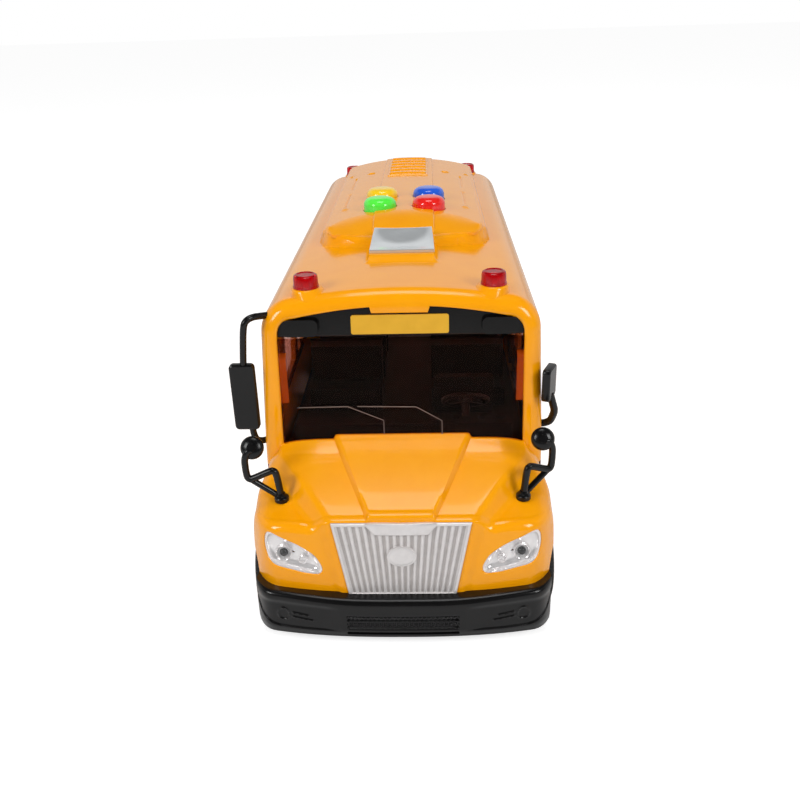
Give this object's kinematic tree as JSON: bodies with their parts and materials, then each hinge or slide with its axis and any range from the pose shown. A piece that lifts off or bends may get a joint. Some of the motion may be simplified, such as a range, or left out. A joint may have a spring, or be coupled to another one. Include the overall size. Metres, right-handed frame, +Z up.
{
  "type": "toy bus",
  "caption": "Toy bus with sprung roof buttons, red roof lamps, bent-rod mirrors, a ribbed grille and rolling wheels that drive a friction flywheel.",
  "frame": {"origin": "on the ground under the tyres, in the middle plane, half way between the bumper faces", "axes": "+Z up, +Y towards the rear, +X towards the driver side"},
  "size_m": [0.1191, 0.298, 0.128],
  "materials": {
    "body_yellow": "gloss",
    "black_satin": "satin",
    "sign_yellow": "gloss",
    "smoke_clear": "gloss",
    "clear": "gloss",
    "bright": "bright",
    "silver": "silver paint",
    "red_clear": "clear red gloss",
    "led": "clear",
    "green": "gloss",
    "red": "gloss",
    "yellow": "gloss",
    "blue": "gloss",
    "silicone": "matt",
    "board": "satin",
    "steel": "plain",
    "cone": "matt",
    "cell": "gloss",
    "brass_tin": "plain",
    "tyre": "matt",
    "hub": "silver paint",
    "nylon": "plain"
  },
  "bodies": {
    "bus": {"body_shell": "body_yellow", "header_panel": "black_satin", "sign_plate": "sign_yellow", "windshield": "smoke_clear", "side_glass_left": "smoke_clear", "side_glass_right": "smoke_clear", "rear_glass": "smoke_clear", "grille": "silver", "headlight_reflector_left": "bright", "headlight_reflector_right": "bright", "headlight_lens_left": "clear", "headlight_lens_right": "clear", "front_bumper": "black_satin", "rear_bumper": "black_satin", "tail_lamps": "red_clear", "crossview_mirror_left": "black_satin", "crossview_mirror_right": "black_satin", "door_mirror_left": "black_satin", "door_mirror_right": "black_satin", "roof_lamps_front": "red_clear", "roof_lamps_rear": "red_clear", "roof_lamp_leds": "led", "roof_light_tray": "bright", "roof_console": "body_yellow", "key_dome_green": "silicone", "key_dome_red": "silicone", "key_dome_yellow": "silicone", "key_dome_blue": "silicone", "circuit_board": "board", "console_screws": "steel", "board_screws": "steel", "speaker": "cone", "chassis": "black_satin", "battery_door": "black_satin", "battery_cells": "cell", "battery_contacts": "brass_tin", "battery_door_screw": "steel", "chassis_screws": "steel", "motor_housing": "black_satin", "interior_deck": "black_satin", "dashboard": "black_satin", "steering_wheel": "black_satin"},
    "front_wheels": {"front_axle": "steel", "tyre_front_left": "tyre", "tyre_front_right": "tyre", "hub_front_left": "hub", "hub_front_right": "hub"},
    "rear_wheels": {"rear_axle": "steel", "tyre_rear_left": "tyre", "tyre_rear_right": "tyre", "hub_rear_left": "hub", "hub_rear_right": "hub", "axle_gear": "nylon"},
    "idler": {"idler_gear": "nylon"},
    "flywheel_body": {"flywheel": "steel"},
    "button_green_body": {"button_green": "green"},
    "button_red_body": {"button_red": "red"},
    "button_yellow_body": {"button_yellow": "yellow"},
    "button_blue_body": {"button_blue": "blue"}
  },
  "joints": [
    {"name": "front_wheels_spin", "type": "hinge", "parent": "bus", "child": "front_wheels", "pos_m": [0, -0.116, 0.0155], "axis": [1, 0, 0], "continuous": true},
    {"name": "rear_wheels_spin", "type": "hinge", "parent": "bus", "child": "rear_wheels", "pos_m": [0, 0.067, 0.0155], "axis": [1, 0, 0], "continuous": true},
    {"name": "idler_spin", "type": "hinge", "parent": "bus", "child": "idler", "pos_m": [0, 0.05988, 0.02461], "axis": [1, 0, 0], "continuous": true},
    {"name": "flywheel_spin", "type": "hinge", "parent": "bus", "child": "flywheel_body", "pos_m": [0, 0.04772, 0.02461], "axis": [1, 0, 0], "continuous": true},
    {"name": "button_green_press", "type": "slide", "parent": "bus", "child": "button_green_body", "axis": [0, 0, -1], "range_m": [0, 0.0015], "stiffness_N_per_m": 600, "springref_m": -0.0005, "deforming": ["key_dome_green"]},
    {"name": "button_red_press", "type": "slide", "parent": "bus", "child": "button_red_body", "axis": [0, 0, -1], "range_m": [0, 0.0015], "stiffness_N_per_m": 600, "springref_m": -0.0005, "deforming": ["key_dome_red"]},
    {"name": "button_yellow_press", "type": "slide", "parent": "bus", "child": "button_yellow_body", "axis": [0, 0, -1], "range_m": [0, 0.0015], "stiffness_N_per_m": 600, "springref_m": -0.0005, "deforming": ["key_dome_yellow"]},
    {"name": "button_blue_press", "type": "slide", "parent": "bus", "child": "button_blue_body", "axis": [0, 0, -1], "range_m": [0, 0.0015], "stiffness_N_per_m": 600, "springref_m": -0.0005, "deforming": ["key_dome_blue"]}
  ],
  "couplings": [
    {"joint": "rear_wheels_spin", "follows": "flywheel_spin", "ratio": 0.11905},
    {"joint": "idler_spin", "follows": "flywheel_spin", "ratio": -0.33333}
  ]
}
